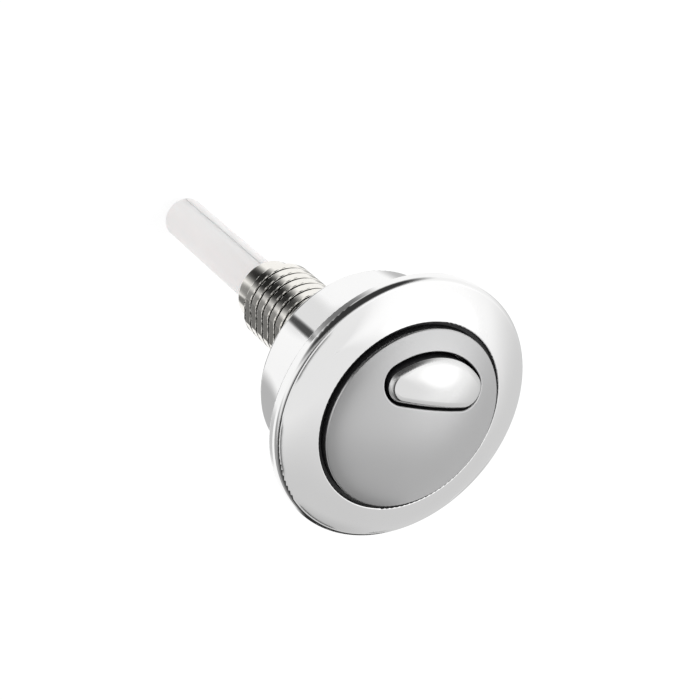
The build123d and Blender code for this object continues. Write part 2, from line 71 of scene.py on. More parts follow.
class Body(Enum):
    """Bodies of the frame that new pieces ride on."""

    HOUSING = "housing"
    FULL = "full_flush"


class Slot(Enum):
    """Material slots of the record."""

    CHROME = "polished_chrome"
    SATIN = "satin_chrome"
    BRASS = "plated_brass"
    SPRING = "spring_steel"
    STEEL = "zinc_steel"
    SLEEVE = "sleeve_plastic"
    CARRIER = "carrier_plastic"
    ROD = "rod_plastic"


class Field:
    """Socket of a node tree that takes part in Python arithmetic."""

    def __init__(self, graph: "Graph", socket: bpy.types.NodeSocket) -> None:
        """Keeps the socket and the graph that it belongs to."""
        self.graph = graph
        self.socket = socket

    def calc(self, operation: str, *others: "Field | float") -> "Field":
        """Adds a Math node.

        Args:
            operation: Name of the Math node's operation.
            others: Operands after this one.

        Returns:
            The node's result.
        """
        values = dict(enumerate((self, *others)))
        return self.graph.node("ShaderNodeMath", {"operation": operation}, values)

    def __add__(self, other: "Field | float") -> "Field":
        """Sum of the two."""
        return self.calc("ADD", other)

    __radd__ = __add__

    def __sub__(self, other: "Field | float") -> "Field":
        """Difference of the two."""
        return self.calc("SUBTRACT", other)

    def __rsub__(self, other: float) -> "Field":
        """Number less this value."""
        return self.graph.number(other).calc("SUBTRACT", self)

    def __mul__(self, other: "Field | float") -> "Field":
        """Product of the two."""
        return self.calc("MULTIPLY", other)

    __rmul__ = __mul__

    def __truediv__(self, other: "Field | float") -> "Field":
        """Quotient of the two."""
        return self.calc("DIVIDE", other)

    def __rtruediv__(self, other: float) -> "Field":
        """Number divided by this value."""
        return self.graph.number(other).calc("DIVIDE", self)

    def __pow__(self, other: "Field | float") -> "Field":
        """This value to a power."""
        return self.calc("POWER", other)

    def __abs__(self) -> "Field":
        """Size of this value without its sign."""
        return self.calc("ABSOLUTE")

    def least(self, other: "Field | float") -> "Field":
        """Smaller of the two."""
        return self.calc("MINIMUM", other)

    def most(self, other: "Field | float") -> "Field":
        """Larger of the two."""
        return self.calc("MAXIMUM", other)

    def step(self, start: float, end: float) -> "Field":
        """Smooth rise from 0 at start to 1 at end.

        Args:
            start: Value where the rise starts.
            end: Value where it ends.

        Returns:
            The risen value.
        """
        settings = {"interpolation_type": "SMOOTHSTEP"}
        values = {"Value": self, "From Min": start, "From Max": end}
        return self.graph.node("ShaderNodeMapRange", settings, values)


class Graph:
    """Node tree that is written as Python expressions."""

    def __init__(self, tree: bpy.types.NodeTree) -> None:
        """Keeps the tree."""
        self.tree = tree

    def add(self, kind: str, settings: dict[str, Any], values: dict[Any, Any]) -> bpy.types.Node:
        """Adds a node.

        Args:
            kind: Type name of the node.
            settings: Attributes of the node, which are set first.
            values: Numbers, colours or fields by the name or index of an input.

        Returns:
            The new node.
        """
        made = self.tree.nodes.new(kind)
        for name, value in settings.items():
            setattr(made, name, value)
        for key, value in values.items():
            if isinstance(value, Field):
                self.tree.links.new(value.socket, made.inputs[key])
            else:
                made.inputs[key].default_value = value
        return made

    def node(
        self, kind: str, settings: dict[str, Any], values: dict[Any, Any], output: str | int = 0
    ) -> Field:
        """Adds a node and gives one of its outputs.

        Args:
            kind: Type name of the node.
            settings: Attributes of the node, which are set first.
            values: Numbers, colours or fields by the name or index of an input.
            output: Name or index of the output.

        Returns:
            The output.
        """
        return Field(self, self.add(kind, settings, values).outputs[output])

    def number(self, value: float) -> Field:
        """Adds a plain number.

        Args:
            value: The number.

        Returns:
            The number as a field.
        """
        made = self.add("ShaderNodeValue", {}, {})
        made.outputs[0].default_value = value
        return Field(self, made.outputs[0])

    def point(self) -> Field:
        """Object coordinates of the surface, in metres."""
        return self.node("ShaderNodeTexCoord", {}, {}, "Object")

    def split(self, vector: Field) -> tuple[Field, Field, Field]:
        """The three parts of a vector."""
        made = self.add("ShaderNodeSeparateXYZ", {}, {0: vector})
        return tuple(Field(self, output) for output in made.outputs)

    def join(self, *parts: Field | float) -> Field:
        """A vector of three parts."""
        return self.node("ShaderNodeCombineXYZ", {}, dict(enumerate(parts)))

    def stretch(self, vector: Field, scale: Triple) -> Field:
        """The vector times a scale along each axis."""
        return self.node("ShaderNodeVectorMath", {"operation": "MULTIPLY"}, {0: vector, 1: scale})

    def noise(self, vector: Field, scale: float, detail: float = 3.0, rough: float = 0.5) -> Field:
        """Noise between about 0 and 1.

        Args:
            vector: Place of the pattern.
            scale: Features per metre.
            detail: Octaves.
            rough: Share of the finer octaves.

        Returns:
            The noise.
        """
        values = {"Vector": vector, "Scale": scale, "Detail": detail, "Roughness": rough}
        return self.node("ShaderNodeTexNoise", {}, values, 0)

    def blend(self, factor: Field, low: Any, high: Any) -> Field:
        """Colour between two colours.

        Args:
            factor: 0 gives low and 1 gives high.
            low: Colour or field.
            high: Colour or field.

        Returns:
            The mixed colour.
        """
        made = self.add("ShaderNodeMix", {"data_type": "RGBA"}, {"Factor": factor})
        colours = [s for s in made.inputs if s.type == "RGBA"]
        for socket, colour in zip(colours, (low, high)):
            if isinstance(colour, Field):
                self.tree.links.new(colour.socket, socket)
            else:
                socket.default_value = (*colour, 1.0)
        return Field(self, next(s for s in made.outputs if s.type == "RGBA"))

    def bump(self, height: Field, distance: float, strength: float) -> Field:
        """Normal that a height gives the surface."""
        values = {"Height": height, "Distance": distance, "Strength": strength}
        return self.node("ShaderNodeBump", {}, values)


@dataclass(frozen=True)
class Finish:
    """Surface of one material: its plain values and how they vary."""

    slot: Slot
    colour: Colour
    roughness: float
    metallic: float = 0.0
    grade: str = "finish"

    def vary(self, graph: Graph, point: Field) -> dict[str, Any]:
        """What changes over the surface.

        Args:
            graph: The material's nodes.
            point: Object coordinates.

        Returns:
            Shader inputs by name.
        """
        raise NotImplementedError

    def plain(self) -> dict[str, Any]:
        """Shader inputs that are the same all over the surface."""
        return {}

    def shade(self, share: float) -> Colour:
        """The finish's colour, darkened to a share of it."""
        return tuple(share * part for part in self.colour)

    def material(self) -> bpy.types.Material:
        """Builds the material once, and gives the same one after that.

        Returns:
            The material.
        """
        name = f"{self.slot.value}_{self.grade}"
        if name in bpy.data.materials:
            return bpy.data.materials[name]
        made = bpy.data.materials.new(name)
        made.use_nodes = True
        graph = Graph(made.node_tree)
        shader = made.node_tree.nodes["Principled BSDF"]
        shader.inputs["Base Color"].default_value = (*self.colour, 1.0)
        shader.inputs["Roughness"].default_value = self.roughness
        shader.inputs["Metallic"].default_value = self.metallic
        for key, value in self.plain().items():
            shader.inputs[key].default_value = value
        for key, value in self.vary(graph, graph.point()).items():
            graph.tree.links.new(value.socket, shader.inputs[key])
        return made


@dataclass(frozen=True)
class PolishedChrome(Finish):
    """Bright plating over a polished casting, with faint haze and hairlines."""

    haze_scale: float = 95.0
    hair_scale: Triple = (900.0, 5200.0, 900.0)
    hair_blur: float = 0.02
    ripple_scale: float = 42.0
    ripple_height: float = 0.4 * MM
    ripple_strength: float = 0.006
    shaded_walls: bool = False
    edge_blur: float = 0.3

    def vary(self, graph: Graph, point: Field) -> dict[str, Any]:
        """Gives haze, hairlines, the casting's slow ripple and, where asked, painted shade on the walls.

        Args:
            graph: The material's nodes.
            point: Object coordinates.

        Returns:
            Shader inputs by name.
        """
        haze = graph.noise(point, self.haze_scale, 4.0)
        hairs = graph.noise(graph.stretch(point, self.hair_scale), 1.0, 2.0)
        ripple = graph.noise(point, self.ripple_scale, 1.0)
        tint = graph.blend(haze, self.shade(0.97), self.colour)
        rough = self.roughness * (0.7 + 0.45 * haze) + self.hair_blur * hairs.step(0.62, 0.8)
        result = {
            "Base Color": tint,
            "Roughness": rough,
            "Normal": graph.bump(ripple, self.ripple_height, self.ripple_strength),
        }
        # Walls that face sideways get painted shade: near black and not metallic.
        if self.shaded_walls:
            _, _, upward = graph.split(graph.node("ShaderNodeTexCoord", {}, {}, "Normal"))
            plated = upward.step(0.02, 0.12)
            result["Base Color"] = graph.blend(plated, WALL_SHADE_BLACK, tint)
            result["Roughness"] = rough + self.edge_blur * (1.0 - upward.step(0.6, 0.92))
            result["Metallic"] = plated
        return result


@dataclass(frozen=True)
class SatinChrome(Finish):
    """Fine blasted plating on the dome, with painted shade, near black, on the wall below its edge."""

    dome_centre: float = 0.0
    plated_from: float = 1.0
    plating_edge: float = 0.03 * MM
    wall_shade_blur: float = 0.25
    cloud_scale: float = 70.0
    grain_scale: float = 9000.0
    grain_height: float = 0.004 * MM
    grain_strength: float = 0.25

    def vary(self, graph: Graph, point: Field) -> dict[str, Any]:
        """Gives blasted grain, soft clouds and painted shade on the wall below the plated dome.

        Args:
            graph: The material's nodes.
            point: Object coordinates.

        Returns:
            Shader inputs by name.
        """
        grain = graph.noise(point, self.grain_scale, 2.0)
        cloud = graph.noise(point, self.cloud_scale, 3.0)
        plated = self.plating(graph, point)
        tint = graph.blend(cloud, self.shade(0.95), self.colour)
        rough = self.roughness * (0.9 + 0.12 * cloud + 0.08 * grain)
        # Below the plated dome the wall is painted near black and not metallic: painted shade in the gap.
        return {
            "Base Color": graph.blend(plated, WALL_SHADE_BLACK, tint),
            "Metallic": plated,
            "Roughness": rough + self.wall_shade_blur * (1.0 - plated),
            "Normal": graph.bump(grain, self.grain_height, self.grain_strength),
        }

    def plating(self, graph: Graph, point: Field) -> Field:
        """Finds where the domed cap is plated: outside a sphere a little under its face; the wall below
        it gets painted shade.

        Args:
            graph: The material's nodes.
            point: Object coordinates.

        Returns:
            1 on plating and 0 on the wall with painted shade.
        """
        values = {0: point, 1: (0.0, 0.0, self.dome_centre)}
        away = graph.node("ShaderNodeVectorMath", {"operation": "DISTANCE"}, values, "Value")
        return away.step(self.plated_from - self.plating_edge, self.plated_from + self.plating_edge)


@dataclass(frozen=True)
class NickelPlate(Finish):
    """Warm nickel over turned brass, with tool lines round the axis and painted shade, near black, in the
    thread grooves.
    """

    land: float = 9.88 * MM
    groove: float = 9.72 * MM
    # Share of the colour left in the thread grooves: painted shade.
    groove_shade_share: float = 0.06
    flat_starts: float = FLAT_DISTANCE - 0.1 * MM
    flat_full: float = FLAT_DISTANCE - 0.02 * MM
    thread_end: float = -55.0 * MM
    cloud_scale: float = 260.0
    line_scale: float = 9000.0
    line_height: float = 0.006 * MM
    line_strength: float = 0.2

    def vary(self, graph: Graph, point: Field) -> dict[str, Any]:
        """Gives turning lines, painted shade in the thread grooves and a cloudy shine.

        Args:
            graph: The material's nodes.
            point: Object coordinates.

        Returns:
            Shader inputs by name.
        """
        across, along, height = graph.split(point)
        radius = (across * across + along * along) ** 0.5
        lines = graph.noise(graph.join(0.0, 0.0, height * self.line_scale), 1.0, 2.0)
        cloud = graph.noise(point, self.cloud_scale, 4.0)
        aside = abs(across * math.cos(FLAT_ANGLE) + along * math.sin(FLAT_ANGLE))
        flat = aside.step(self.flat_starts, self.flat_full)
        plain = height.calc("LESS_THAN", self.thread_end)
        # Painted shade: the thread grooves go near black, except on the flats and the plain collar below
        # the thread.
        bright = radius.step(self.groove, self.land).most(flat).most(plain)
        unshaded = (bright + 0.2 * cloud).step(0.1, 0.9)
        return {
            "Base Color": graph.blend(unshaded, self.shade(self.groove_shade_share), self.colour),
            "Roughness": self.roughness * (0.7 + 0.5 * cloud) + 0.04 * lines,
            "Normal": graph.bump(lines, self.line_height, self.line_strength),
        }


@dataclass(frozen=True)
class Steel(Finish):
    """Zinc plated or drawn steel with a fine cloudy spangle."""

    spangle_scale: float = 420.0

    def vary(self, graph: Graph, point: Field) -> dict[str, Any]:
        """Gives spangle in the shine and colour.

        Args:
            graph: The material's nodes.
            point: Object coordinates.

        Returns:
            Shader inputs by name.
        """
        cloud = graph.noise(point, self.spangle_scale, 4.0)
        return {
            "Base Color": graph.blend(cloud, self.shade(0.8), self.colour),
            "Roughness": self.roughness * (0.75 + 0.5 * cloud),
        }


@dataclass(frozen=True)
class Moulding(Finish):
    """Moulded plastic with an eroded grain."""

    flow_scale: float = 60.0
    grain_scale: float = 2600.0
    grain_height: float = 0.02 * MM
    grain_strength: float = 0.2

    def vary(self, graph: Graph, point: Field) -> dict[str, Any]:
        """Gives the grain of the mould and faint flow marks.

        Args:
            graph: The material's nodes.
            point: Object coordinates.

        Returns:
            Shader inputs by name.
        """
        grain = graph.noise(point, self.grain_scale, 2.0)
        flow = graph.noise(point, self.flow_scale, 2.0)
        return {
            "Base Color": graph.blend(flow, self.shade(0.92), self.colour),
            "Roughness": self.roughness * (0.85 + 0.3 * grain),
            "Normal": graph.bump(grain, self.grain_height, self.grain_strength),
        }


@dataclass(frozen=True)
class RodPlastic(Finish):
    """Milky drawn plastic, faintly streaked along its length."""

    cloud_scale: float = 90.0
    streak_scale: Triple = (1400.0, 1400.0, 18.0)
    streak_height: float = 0.01 * MM
    streak_strength: float = 0.25

    def plain(self) -> dict[str, Any]:
        """Light that passes into the plastic."""
        return {
            "Subsurface Weight": 0.8,
            "Subsurface Radius": (1.0, 0.9, 0.88),
            "Subsurface Scale": 2.5 * MM,
            "IOR": 1.49,
        }

    def vary(self, graph: Graph, point: Field) -> dict[str, Any]:
        """Gives draw lines along the rod and soft clouds in the plastic.

        Args:
            graph: The material's nodes.
            point: Object coordinates.

        Returns:
            Shader inputs by name.
        """
        streak = graph.noise(graph.stretch(point, self.streak_scale), 1.0, 3.0)
        cloud = graph.noise(point, self.cloud_scale, 3.0)
        return {
            "Base Color": graph.blend(cloud, self.shade(0.965), self.colour),
            "Roughness": self.roughness * (0.8 + 0.35 * streak),
            "Normal": graph.bump(streak, self.streak_height, self.streak_strength),
        }


ZINC = Steel(Slot.STEEL, (0.66, 0.67, 0.68), roughness=0.35, metallic=1.0)
SPRING_WIRE = Steel(Slot.SPRING, (0.60, 0.61, 0.62), roughness=0.25, metallic=1.0)
CARRIER_WHITE = Moulding(Slot.CARRIER, (0.78, 0.78, 0.77), roughness=0.45)
ROD_WHITE = RodPlastic(Slot.ROD, (0.90, 0.875, 0.87), roughness=0.36)


class Recipe:
    """Geometry node tree with named sizes, run once and kept as a plain mesh."""

    def __init__(self, name: str) -> None:
        """Starts an empty tree with a mesh as its output.

        Args:
            name: Name of the tree.
        """
        self.name = name
        self.tree = bpy.data.node_groups.new(name, "GeometryNodeTree")
        self.graph = Graph(self.tree)
        self.tree.interface.new_socket("Mesh", in_out="OUTPUT", socket_type="NodeSocketGeometry")
        self.entry = self.tree.nodes.new("NodeGroupInput")
        self.values: dict[str, float | int] = {}

    def size(self, name: str, value: float | int) -> Field:
        """Adds a named input.

        Args:
            name: Name of the size.
            value: The size in metres, or a count.

        Returns:
            The input as a field.
        """
        kind = "NodeSocketInt" if isinstance(value, int) else "NodeSocketFloat"
        socket = self.tree.interface.new_socket(name, in_out="INPUT", socket_type=kind)
        self.values[socket.identifier] = value
        return Field(self.graph, self.entry.outputs[name])

    def mesh(self, geometry: Field, material: bpy.types.Material) -> bpy.types.Mesh:
        """Ends the tree, runs it and keeps its result.

        Args:
            geometry: The shape that the tree makes.
            material: The material that it gets.

        Returns:
            A plain mesh.
        """
        whole = self.graph.node("GeometryNodeRealizeInstances", {}, {"Geometry": geometry})
        dressed = self.graph.node(
            "GeometryNodeSetMaterial", {}, {"Geometry": whole, "Material": material}
        )
        self.graph.add("NodeGroupOutput", {}, {"Mesh": dressed})
        holder = bpy.data.objects.new(f"{self.name}_holder", bpy.data.meshes.new(self.name))
        bpy.context.scene.collection.objects.link(holder)
        modifier = holder.modifiers.new(self.name, "NODES")
        modifier.node_group = self.tree
        for identifier, value in self.values.items():
            modifier[identifier] = value
        graph = bpy.context.evaluated_depsgraph_get()
        result = bpy.data.meshes.new_from_object(holder.evaluated_get(graph))
        bpy.data.objects.remove(holder)
        return result


def piece(name: str, mesh: bpy.types.Mesh, body: Body) -> bpy.types.Object:
    """Puts a mesh in the scene as a piece that rides on a body.

    Args:
        name: Name of the piece.
        mesh: Its mesh, in the frame's coordinates.
        body: The body that carries it.

    Returns:
        The piece's object.
    """
    work = bmesh.new()
    work.from_mesh(mesh)
    bmesh.ops.remove_doubles(work, verts=work.verts, dist=MERGE_DISTANCE)
    bmesh.ops.recalc_face_normals(work, faces=work.faces)
    work.to_mesh(mesh)
    work.free()
    mesh.shade_smooth()
    mesh.set_sharp_from_angle(angle=SHARP_ANGLE)
    made = bpy.data.objects.new(name, mesh)
    bpy.context.scene.collection.objects.link(made)
    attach(made, body.value)
    LOG.info("%s rides on %s, %d faces", name, body.value, len(mesh.polygons))
    return made


def paint(node: str, finish: Finish) -> None:
    """Gives a node of the frame its finish.

    Args:
        node: Name of the node.
        finish: The finish.
    """
    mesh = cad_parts[node].data
    mesh.materials.clear()
    mesh.materials.append(finish.material())
    LOG.info("%s has the finish %s", node, finish.slot.value)


@dataclass
class Coil:
    """Coil spring of round wire between two seats."""

    node: str
    body: Body
    joint: str
    stroke: float
    turns: float
    wire: float
    segments: int
    wire_segments: int = 12

    def build(self, finish: Finish) -> bpy.types.Object:
        """Winds the spring in place of its node.

        Args:
            finish: The wire's finish.

        Returns:
            The spring's object.
        """
        low, high = (Vector(corner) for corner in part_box(self.node))
        centre = (low + high) / 2
        radius = (high.y - low.y) / 2 - self.wire / 2
        length = high.z - low.z
        recipe = Recipe(f"{self.node}_recipe")
        graph = recipe.graph
        coil_radius = recipe.size("Radius", radius)
        wound = graph.node(
            "GeometryNodeCurveSpiral",
            {},
            {
                "Resolution": recipe.size("Segments per turn", self.segments),
                "Rotations": recipe.size("Turns", self.turns),
                "Start Radius": coil_radius,
                "End Radius": coil_radius,
                "Height": recipe.size("Height", length - self.wire),
            },
        )
        ring = graph.node(
            "GeometryNodeCurvePrimitiveCircle",
            {},
            {"Resolution": self.wire_segments, "Radius": recipe.size("Wire radius", self.wire / 2)},
        )
        swept = graph.node(
            "GeometryNodeCurveToMesh", {}, {"Curve": wound, "Profile Curve": ring, "Fill Caps": True}
        )
        placed = graph.node(
            "GeometryNodeTransform",
            {},
            {"Geometry": swept, "Translation": (centre.x, centre.y, low.z + self.wire / 2)},
        )
        mesh = recipe.mesh(placed, finish.material())
        spring = piece(f"{self.node}_wire", mesh, self.body)
        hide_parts(self.node)
        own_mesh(spring)
        return spring


@dataclass
class ThreadedShank:
    """Shank with a cut thread, two flats, a plain collar and a neck that the lock nut holds."""

    crest: float = 10.0 * MM
    root: float = 9.15 * MM
    pitch: float = 3.05 * MM
    phase: float = 0.004
    crest_share: float = 0.68
    root_share: float = 0.06
    collar: float = 8.05 * MM
    collar_length: float = 5.9 * MM
    lead_in: float = 0.9 * MM
    neck: float = 9.0 * MM
    bore: float = 7.0 * MM
    chamfer: float = 0.5 * MM
    columns: int = 168
    rows: int = 420
    inner_rows: int = 6
    seam: float = 0.001 * MM
    least_lean: float = 0.05

    def build(self, shoulder: float, finish: Finish) -> bpy.types.Object:
        """Cuts the thread in place of the plain node.

        Args:
            shoulder: Height of the shoulder that meets the cup's back.
            finish: The shank's finish.

        Returns:
            The shank's object.
        """
        low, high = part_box("threaded_shank")
        recipe = Recipe("shank_recipe")
        graph = recipe.graph
        rows = recipe.size("Rows", self.rows)
        skin = recipe.size("Skin rows", self.rows - self.inner_rows)
        grid = graph.node(
            "GeometryNodeMeshGrid",
            {},
            {
                "Size X": 1.0,
                "Size Y": 1.0,
                "Vertices X": recipe.size("Columns", self.columns + 1),
                "Vertices Y": rows,
            },
        )
        across, along, _ = graph.split(graph.node("GeometryNodeInputPosition", {}, {}))
        turn = across + 0.5
        row = ((along + 0.5) * (rows - 1.0)).calc("ROUND")
        fall = ((row - 1.0) / (skin - 1.0)).most(0.0).least(1.0)
        top = recipe.size("Shoulder", shoulder)
        end = recipe.size("End", low[2])
        height = top + (end - top) * fall
        radius = self.skin_radius(recipe, turn, height, end)
        first = row.calc("LESS_THAN", 0.5) * (self.inner_rows - 1.0)
        chosen = (row - skin).most(0.0) + first
        neck = recipe.size("Neck radius", self.neck)
        bore = recipe.size("Bore radius", self.bore)
        summit = recipe.size("Top", high[2])
        radius = self.pick(graph, chosen, (radius, bore, bore, neck - self.chamfer, neck, neck))
        height = self.pick(graph, chosen, (height, end, summit, summit, summit - self.chamfer, top))
        angle = turn * math.tau
        place = graph.join(radius * angle.calc("COSINE"), radius * angle.calc("SINE"), height)
        shaped = graph.node("GeometryNodeSetPosition", {}, {"Geometry": grid, "Position": place})
        closed = graph.node(
            "GeometryNodeMergeByDistance", {}, {"Geometry": shaped, "Distance": self.seam}
        )
        mesh = recipe.mesh(closed, finish.material())
        shank = piece("threaded_shank_cut", mesh, Body.HOUSING)
        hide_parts("threaded_shank")
        return shank

    def skin_radius(self, recipe: Recipe, turn: Field, height: Field, end: Field) -> Field:
        """Radius of the outside: the thread, cut back by the flats, and the collar below it.

        Args:
            recipe: The tree that the sizes belong to.
            turn: Share of a turn round the axis.
            height: Height along the axis.
            end: Height of the shank's end.

        Returns:
            The radius.
        """
        crest = recipe.size("Crest radius", self.crest)
        root = recipe.size("Root radius", self.root)
        pitch = recipe.size("Pitch", self.pitch)
        wave = abs((height / pitch - turn + self.phase).calc("FRACT") * 2.0 - 1.0)
        ridge = wave.step(self.root_share, 1.0 - self.crest_share)
        thread = root + (crest - root) * ridge
        flat = recipe.size("Flat distance", FLAT_DISTANCE)
        lean = abs((turn * math.tau - FLAT_ANGLE).calc("COSINE")).most(self.least_lean)
        thread = thread.least(flat / lean)
        collar = recipe.size("Collar radius", self.collar)
        above = height - end
        lead = ((above - self.collar_length) / self.lead_in).most(0.0).least(1.0)
        plain = collar - (self.chamfer - above).most(0.0)
        return thread.least(plain + (crest - collar) * lead)

    @staticmethod
    def pick(graph: Graph, index: Field, options: tuple[Field, ...]) -> Field:
        """One of several values by its number.

        Args:
            graph: The tree's nodes.
            index: Number of the value.
            options: The values.

        Returns:
            The chosen value.
        """
        made = graph.add("GeometryNodeIndexSwitch", {"data_type": "FLOAT"}, {"Index": index})
        while len(made.index_switch_items) < len(options):
            made.index_switch_items.new()
        for number, option in enumerate(options):
            graph.tree.links.new(option.socket, made.inputs[number + 1])
        return Field(graph, made.outputs[0])


@dataclass
class Housing:
    """Cup with its flange, the shank behind it and what is clamped inside."""

    shoulder: float = -18.4 * MM
    full_stroke: float = 6.0 * MM

    def build(self) -> None:
        """Cuts the shank's thread and winds the large spring."""
        nickel = NickelPlate(Slot.BRASS, (0.86, 0.84, 0.795), roughness=0.085, metallic=1.0)
        ThreadedShank().build(self.shoulder, nickel)
        spring = Coil(
            "full_return_spring", Body.HOUSING, "full_press",
            stroke=self.full_stroke, turns=3.5, wire=1.2 * MM, segments=48,
        )
        spring.build(SPRING_WIRE)

    def dress(self) -> None:
        """Gives the housing's nodes their finishes."""
        chrome = PolishedChrome(Slot.CHROME, (0.905, 0.903, 0.902), roughness=0.045, metallic=1.0)
        paint("cup_body", chrome)
        paint("guide_sleeve", Moulding(Slot.SLEEVE, (0.010, 0.010, 0.011), roughness=0.5))
        for node in ("lock_washer", "shank_lock_nut", "spring_seat"):
            paint(node, ZINC)


@dataclass
class FullFlush:
    """Full button with its carrier and rod."""

    half_stroke: float = 4.5 * MM
    dome_centre: float = -32.651 * MM
    dome_radius: float = 44.651 * MM
    plating_depth: float = 0.4 * MM

    def build(self) -> None:
        """Winds the small spring on the carrier."""
        spring = Coil(
            "half_return_spring", Body.FULL, "half_press",
            stroke=self.half_stroke, turns=4.5, wire=0.6 * MM, segments=40,
        )
        spring.build(SPRING_WIRE)

    def dress(self) -> None:
        """Gives the full button's nodes their finishes."""
        # The satin finish paints shade on the wall below the dome.
        satin = SatinChrome(
            Slot.SATIN, (0.62, 0.62, 0.622), roughness=0.29, metallic=1.0,
            dome_centre=self.dome_centre, plated_from=self.dome_radius - self.plating_depth,
        )
        paint("full_button", satin)
        paint("button_carrier", CARRIER_WHITE)
        paint("full_flush_rod", ROD_WHITE)
        for node in ("carrier_screws", "full_rod_pin"):
            paint(node, ZINC)


@dataclass
class HalfFlush:
    """Half button with its plunger and rod."""

    def dress(self) -> None:
        """Gives the half button's nodes their finishes."""
        # The half button's sideways walls get painted shade.
        polished = PolishedChrome(
            Slot.CHROME, (0.83, 0.83, 0.827), roughness=0.06, metallic=1.0,
            grade="button", shaded_walls=True,
        )
        paint("half_button", polished)
        paint("half_plunger", CARRIER_WHITE)
        paint("half_flush_rod", ROD_WHITE)
        for node in ("plunger_screws", "half_rod_pin"):
            paint(node, ZINC)


@dataclass(frozen=True)
class Panel:
    """Soft edged studio panel that only reflections see."""

    columns: ClassVar[int] = 36
    rows: ClassVar[int] = 16

    name: str
    azimuth: float
    spread: float
    tone: float
    fade_from: float

    def point(self, across: float, along: float) -> Vector:
        """Place of a point of the panel.

        Args:
            across: Place along the panel's width, from -1 to 1.
            along: Place along its height, from -1 to 1.

        Returns:
            The point in metres.
        """
        raise NotImplementedError

    def turn(self, across: float) -> float:
        """Azimuth in radians at a place along the width."""
        return math.radians(self.azimuth + across * self.spread / 2)

    def build(self) -> None:
        """Sets the panel up round the button."""
        columns, rows = self.columns, self.rows
        places = [
            (2 * column / columns - 1, 2 * row / rows - 1)
            for row in range(rows + 1) for column in range(columns + 1)
        ]
        faces = []
        for row in range(rows):
            for column in range(columns):
                first = row * (columns + 1) + column
                faces.append((first, first + 1, first + columns + 2, first + columns + 1))
        mesh = bpy.data.meshes.new(self.name)
        mesh.from_pydata([self.point(*place) for place in places], [], faces)
        chart = mesh.uv_layers.new(name="panel")
        for loop in mesh.loops:
            chart.data[loop.index].uv = places[loop.vertex_index]
        mesh.materials.append(self.material())
        made = bpy.data.objects.new(self.name, mesh)
        bpy.context.scene.collection.objects.link(made)
        made.visible_camera = made.visible_diffuse = made.visible_shadow = False
        made.visible_transmission = made.visible_volume_scatter = False

    def cover(self, across: Field, along: Field) -> Field:
        """How far the panel hides what is behind it.

        Args:
            across: Place along the panel's width, from -1 to 1.
            along: Place along its height, from -1 to 1.

        Returns:
            1 where it hides all and 0 where it is clear.
        """
        return 1.0 - (across * across + along * along).step(self.fade_from, 1.0)

    def material(self) -> bpy.types.Material:
        """Makes an even tone that fades out towards the edges.

        Returns:
            The material.
        """
        made = bpy.data.materials.new(f"{self.name}_tone")
        made.use_nodes = True
        made.node_tree.nodes.clear()
        graph = Graph(made.node_tree)
        across, along, _ = graph.split(graph.node("ShaderNodeUVMap", {"uv_map": "panel"}, {}))
        cover = self.cover(across, along)
        tone = (self.tone, self.tone, self.tone, 1.0)
        glow = graph.node("ShaderNodeEmission", {}, {"Color": tone})
        clear = graph.node("ShaderNodeBsdfTransparent", {}, {})
        mixed = graph.node("ShaderNodeMixShader", {}, {0: cover, 1: clear, 2: glow})
        graph.add("ShaderNodeOutputMaterial", {}, {"Surface": mixed})
        return made


@dataclass(frozen=True)
class TentPanel(Panel):
    """Panel of the light tent, at a height above the horizon."""

    elevation: float
    height: float
    distance: float

    def point(self, across: float, along: float) -> Vector:
        """Finds a place on a sphere round the button.

        Args:
            across: Place along the panel's width, from -1 to 1.
            along: Place along its height, from -1 to 1.

        Returns:
            The point in metres.
        """
        turn = self.turn(across)
        lift = math.radians(self.elevation + along * self.height / 2)
        flat = math.cos(lift)
        return self.distance * Vector((flat * math.cos(turn), flat * math.sin(turn), math.sin(lift)))


@dataclass(frozen=True)
class FloorPatch(Panel):
    """Card that lies on the floor near the button."""

    reach: float
    depth: float
    layer: int = 1
    thickness: float = 0.2 * MM

    def point(self, across: float, along: float) -> Vector:
        """Finds a place on the floor or on the cards below.

        Args:
            across: Place along the panel's width, from -1 to 1.
            along: Place along its height, from -1 to 1.

        Returns:
            The point in metres.
        """
        turn = self.turn(across)
        away = self.reach + along * self.depth / 2
        lift = FLOOR_HEIGHT + self.layer * self.thickness
        return Vector((away * math.cos(turn), away * math.sin(turn), lift))


@dataclass(frozen=True)
class RimPanel(Panel):
    """Panel that stands where the flange's rounded edge mirrors it to the camera, by the edge's slope."""

    slope: float
    reach: float
    distance: float
    edge_radius: float = 30.4 * MM
    edge_height: float = 2.7 * MM
    ground: float = -112.0 * MM

    def point(self, across: float, along: float) -> Vector:
        """Finds a place that the edge mirrors, on the ground at the lowest.

        Args:
            across: Place along the panel's width, from -1 to 1.
            along: Place along its height, from -1 to 1.

        Returns:
            The point in metres.
        """
        turn = self.turn(across)
        slope = math.radians(self.slope + along * self.reach / 2)
        outward = Vector((math.cos(turn), math.sin(turn), 0.0))
        edge = self.edge_radius * outward + Vector((0.0, 0.0, self.edge_height))
        normal = math.sin(slope) * outward + Vector((0.0, 0.0, math.cos(slope)))
        way = -(Vector(CAMERA_PLACE) - edge).normalized().reflect(normal)
        length = self.distance
        if way.z < 0:
            length = min(length, (self.ground - edge.z) / way.z)
        return edge + length * way


@dataclass(frozen=True)
class RimLine(RimPanel):
    """Panel with a sharp edge at its least slope, which fades out as the slope grows."""

    hold: float = -0.85
    sharp_until: float = -0.94

    def cover(self, across: Field, along: Field) -> Field:
        """Sharp on one side and soft on the other; see the base class."""
        ends = 1.0 - (across * across).step(self.fade_from, 1.0)
        return along.step(-1.0, self.sharp_until) * (1.0 - along.step(self.hold, 1.0)) * ends


